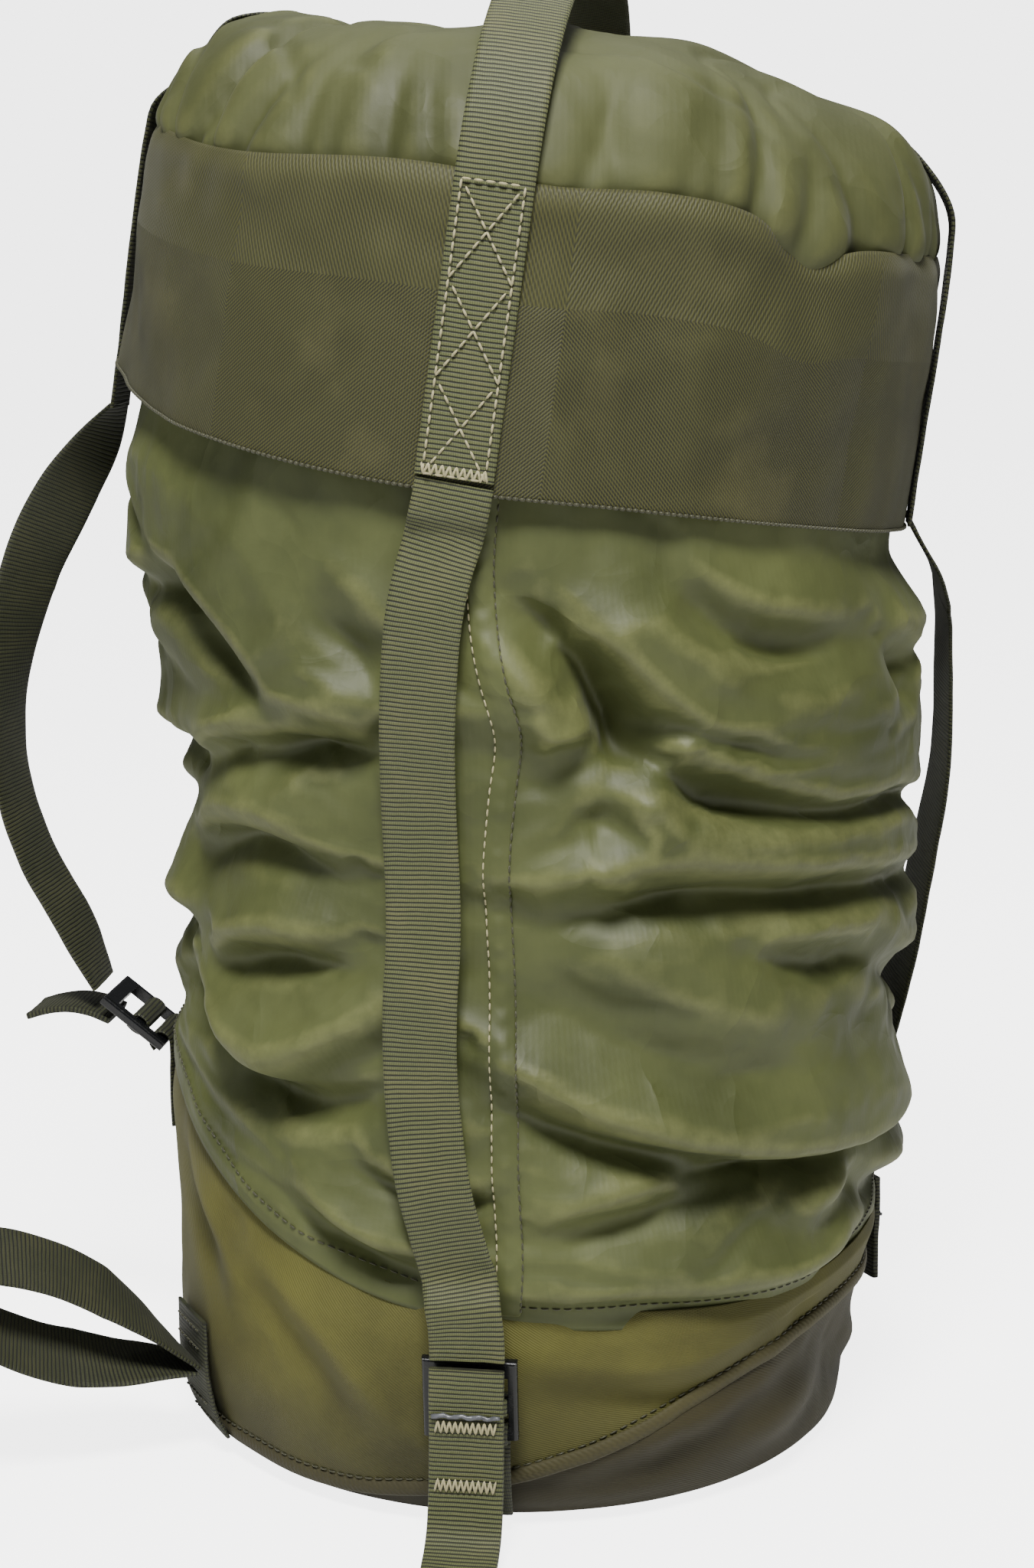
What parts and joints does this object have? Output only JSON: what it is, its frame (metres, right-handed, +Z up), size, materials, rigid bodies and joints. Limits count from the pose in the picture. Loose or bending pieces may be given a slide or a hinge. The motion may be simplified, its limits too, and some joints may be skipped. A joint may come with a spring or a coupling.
{
  "type": "compression sack",
  "caption": "Slack, stuffed nylon compression sack with a webbing-skirted cap, over-straps, buckled side straps, a heavier base and a haul loop.",
  "frame": {"origin": "centre of the base panel's underside, on the ground", "axes": "+Z up the sack towards the cap; the front strap faces -Y; +X to the right of it"},
  "size_m": [0.3791, 0.4067, 0.5472],
  "materials": {
    "webbing": "ribbed nylon webbing",
    "buckle_plastic": "moulded acetal",
    "panel_cloth": "heavy coated nylon",
    "binding": "bound edge tape",
    "khaki_twill": "heavy twill",
    "body_nylon": "coated nylon, satin",
    "cord": "braided cord",
    "lock_plastic": "moulded",
    "spring_steel": "drawn wire",
    "band_webbing": "twill band",
    "crown_nylon": "coated nylon, light"
  },
  "bodies": {
    "base": {"base_panel": "panel_cloth", "base_binding": "binding", "base_wall": "khaki_twill", "sack_wall_lower": "body_nylon", "anchor_webbing_front": "webbing", "anchor_webbing_right": "webbing", "anchor_webbing_back": "webbing", "anchor_webbing_left": "webbing", "haul_loop_patch": "webbing"},
    "upper": {"sack_wall_upper": "body_nylon", "sack_shoulder": "body_nylon", "mouth_channel": "body_nylon", "drawcord": "cord", "cord_lock_barrel": "lock_plastic", "cord_lock_spring": "spring_steel"},
    "cap": {"skirt_band": "band_webbing", "crown": "crown_nylon", "over_strap_front_back": "webbing", "over_strap_left_right": "webbing", "strap_run_front": "webbing", "strap_run_right": "webbing", "strap_run_back": "webbing", "strap_run_left": "webbing"},
    "plunger": {"cord_lock_plunger": "lock_plastic"},
    "haul_loop": {"haul_loop": "webbing"},
    "buckle_front": {"ladder_lock_front": "buckle_plastic", "webbing_turn_front": "webbing"},
    "tail_front": {"pull_tail_front": "webbing"},
    "buckle_right": {"ladder_lock_right": "buckle_plastic", "webbing_turn_right": "webbing"},
    "tail_right": {"pull_tail_right": "webbing"},
    "buckle_back": {"ladder_lock_back": "buckle_plastic", "webbing_turn_back": "webbing"},
    "tail_back": {"pull_tail_back": "webbing"},
    "buckle_left": {"ladder_lock_left": "buckle_plastic", "webbing_turn_left": "webbing"},
    "tail_left": {"pull_tail_left": "webbing"}
  },
  "joints": [
    {"name": "compress", "type": "slide", "parent": "base", "child": "upper", "axis": [0, 0, 1], "range_m": [-0.13, 0], "deforming": ["strap_run_front", "strap_run_right", "strap_run_back", "strap_run_left"]},
    {"name": "cap_lift", "type": "slide", "parent": "upper", "child": "cap", "axis": [0, 0, 1], "range_m": [0, 0.16]},
    {"name": "lock_press", "type": "slide", "parent": "upper", "child": "plunger", "axis": [-1, 0, 0], "range_m": [0, 0.0035], "stiffness_N_per_m": 400, "deforming": ["cord_lock_spring"]},
    {"name": "buckle_front_swing", "type": "hinge", "parent": "base", "child": "buckle_front", "pos_m": [-0.01962, -0.13963, 0.042], "axis": [0.9903, -0.1392, 0], "range_deg": [-5, 12], "deforming": ["pull_tail_front"]},
    {"name": "tail_front_pull", "type": "slide", "parent": "base", "child": "tail_front", "axis": [-0.1392, -0.9903, 0], "range_m": [0, 0.13]},
    {"name": "buckle_right_swing", "type": "hinge", "parent": "base", "child": "buckle_right", "pos_m": [0.12881, 0.05735, 0.042], "axis": [-0.4067, 0.9135, 0], "range_deg": [-5, 12], "deforming": ["pull_tail_right"]},
    {"name": "tail_right_pull", "type": "slide", "parent": "base", "child": "tail_right", "axis": [0.9135, 0.4067, 0], "range_m": [0, 0.13]},
    {"name": "buckle_back_swing", "type": "hinge", "parent": "base", "child": "buckle_back", "pos_m": [0.01962, 0.13963, 0.042], "axis": [-0.9903, 0.1392, 0], "range_deg": [-5, 12], "deforming": ["pull_tail_back"]},
    {"name": "tail_back_pull", "type": "slide", "parent": "base", "child": "tail_back", "axis": [0.1392, 0.9903, 0], "range_m": [0, 0.13]},
    {"name": "buckle_left_swing", "type": "hinge", "parent": "base", "child": "buckle_left", "pos_m": [-0.14111, 0.01983, 0.138], "axis": [-0.1392, -0.9903, 0], "range_deg": [-20, 30], "deforming": ["pull_tail_left"]},
    {"name": "tail_left_pull", "type": "slide", "parent": "base", "child": "tail_left", "axis": [-0.9903, 0.1392, 0], "range_m": [0, 0.13]},
    {"name": "haul_loop_swing", "type": "hinge", "parent": "base", "child": "haul_loop", "pos_m": [-0.12625, -0.05887, 0.034], "axis": [-0.4226, 0.9063, 0], "range_deg": [-38, 25]}
  ],
  "couplings": [
    {"joint": "tail_front_pull", "follows": "compress", "ratio": -1},
    {"joint": "tail_right_pull", "follows": "compress", "ratio": -1},
    {"joint": "tail_back_pull", "follows": "compress", "ratio": -1},
    {"joint": "tail_left_pull", "follows": "compress", "ratio": -1}
  ]
}
